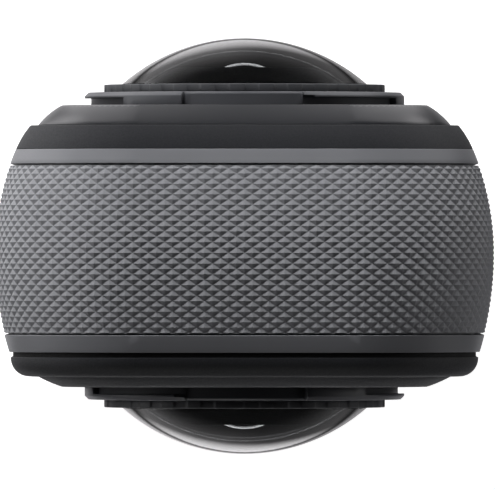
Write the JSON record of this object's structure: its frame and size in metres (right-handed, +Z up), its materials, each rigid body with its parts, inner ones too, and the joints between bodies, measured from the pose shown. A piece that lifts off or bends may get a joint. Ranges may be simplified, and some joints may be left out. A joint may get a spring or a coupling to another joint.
{
  "type": "360 degree camera",
  "caption": "Upright pocket camera with a dome lens on the front and rear, knurled grip band, bayonet rings, screen, push keys, hinged port door, pull-out battery and tripod thread.",
  "frame": {"origin": "centre of the base, on the plane that it stands on, half way between the tips of the two lenses", "axes": "+Z up along the body, front lens along -Y, rear lens and screen along +Y, port door on +X, battery on -X"},
  "size_m": [0.046, 0.0384, 0.1245],
  "materials": {
    "frame_satin": "satin",
    "knurled_grip": "knurled satin",
    "cover_plastic": "fine matt texture",
    "pad_rubber": "matt",
    "deck_plastic": "satin",
    "bayonet_metal": "black satin",
    "ring_metal": "black satin",
    "lens_glass": "polished, coated",
    "barrel_black": "matt black",
    "screen_glass": "polished",
    "display": "dark",
    "gasket_rubber": "matt",
    "circuit_board": "solder mask",
    "steel": "fine brushed",
    "alloy": "plain",
    "brass": "machined",
    "key_red": "satin",
    "key_black": "satin",
    "battery_case": "matt",
    "light_window": "frosted",
    "card": "matt"
  },
  "bodies": {
    "camera_body": {"mid_frame": "frame_satin", "grip_band": "knurled_grip", "front_cover": "cover_plastic", "rear_cover": "cover_plastic", "front_grip_pad": "pad_rubber", "front_deck": "deck_plastic", "rear_deck": "deck_plastic", "front_bayonet_ring": "bayonet_metal", "rear_bayonet_ring": "bayonet_metal", "front_lens_ring": "ring_metal", "rear_lens_ring": "ring_metal", "front_dome": "lens_glass", "rear_dome": "lens_glass", "front_inner_lens": "lens_glass", "rear_inner_lens": "lens_glass", "front_relay_lens": "lens_glass", "rear_relay_lens": "lens_glass", "front_lens_barrel": "barrel_black", "rear_lens_barrel": "barrel_black", "battery_tray": "barrel_black", "speaker": "barrel_black", "microphone_meshes": "barrel_black", "screen_glass": "screen_glass", "display_panel": "display", "front_gasket": "gasket_rubber", "rear_gasket": "gasket_rubber", "front_sensor_board": "circuit_board", "rear_sensor_board": "circuit_board", "key_board": "circuit_board", "side_key_board": "circuit_board", "main_board": "circuit_board", "lens_screws": "steel", "bracket_screws": "steel", "cover_screws": "steel", "key_screws": "steel", "board_screws": "steel", "base_screws": "steel", "base_plate": "steel", "usb_socket": "steel", "usb_hinge_pin": "steel", "card_socket": "steel", "lens_bracket": "alloy", "heat_spreader": "alloy", "tripod_insert": "brass", "contact_block": "brass", "front_status_light": "light_window", "memory_card": "card"},
    "shutter_button": {"shutter_button": "key_red"},
    "lens_button": {"lens_button": "key_black"},
    "power_button": {"power_button": "key_black"},
    "quick_button": {"quick_button": "key_black"},
    "usb_door": {"usb_door": "cover_plastic", "usb_seal": "gasket_rubber"},
    "battery": {"battery_pack": "battery_case", "battery_cover": "knurled_grip", "battery_seal": "gasket_rubber"},
    "battery_latch": {"battery_latch": "key_red"}
  },
  "joints": [
    {"name": "shutter_press", "type": "slide", "parent": "camera_body", "child": "shutter_button", "axis": [0, -1, 0], "range_m": [0, 0.0005], "stiffness_N_per_m": 600, "springref_m": -0.0005},
    {"name": "lens_key_press", "type": "slide", "parent": "camera_body", "child": "lens_button", "axis": [0, -1, 0], "range_m": [0, 0.0005], "stiffness_N_per_m": 600, "springref_m": -0.0005},
    {"name": "power_press", "type": "slide", "parent": "camera_body", "child": "power_button", "axis": [-1, 0, 0], "range_m": [0, 0.0005], "stiffness_N_per_m": 600, "springref_m": -0.0005},
    {"name": "quick_press", "type": "slide", "parent": "camera_body", "child": "quick_button", "axis": [-1, 0, 0], "range_m": [0, 0.0005], "stiffness_N_per_m": 600, "springref_m": -0.0005},
    {"name": "port_door_hinge", "type": "hinge", "parent": "camera_body", "child": "usb_door", "pos_m": [0.0214, 0.0007, 0.0671], "axis": [0, 1, 0], "range_deg": [0, 90]},
    {"name": "battery_slide", "type": "slide", "parent": "camera_body", "child": "battery", "axis": [-1, 0, 0], "range_m": [0, 0.037]},
    {"name": "battery_lock", "type": "slide", "parent": "battery", "child": "battery_latch", "axis": [0, 0, 1], "range_m": [0, 0.002]}
  ]
}
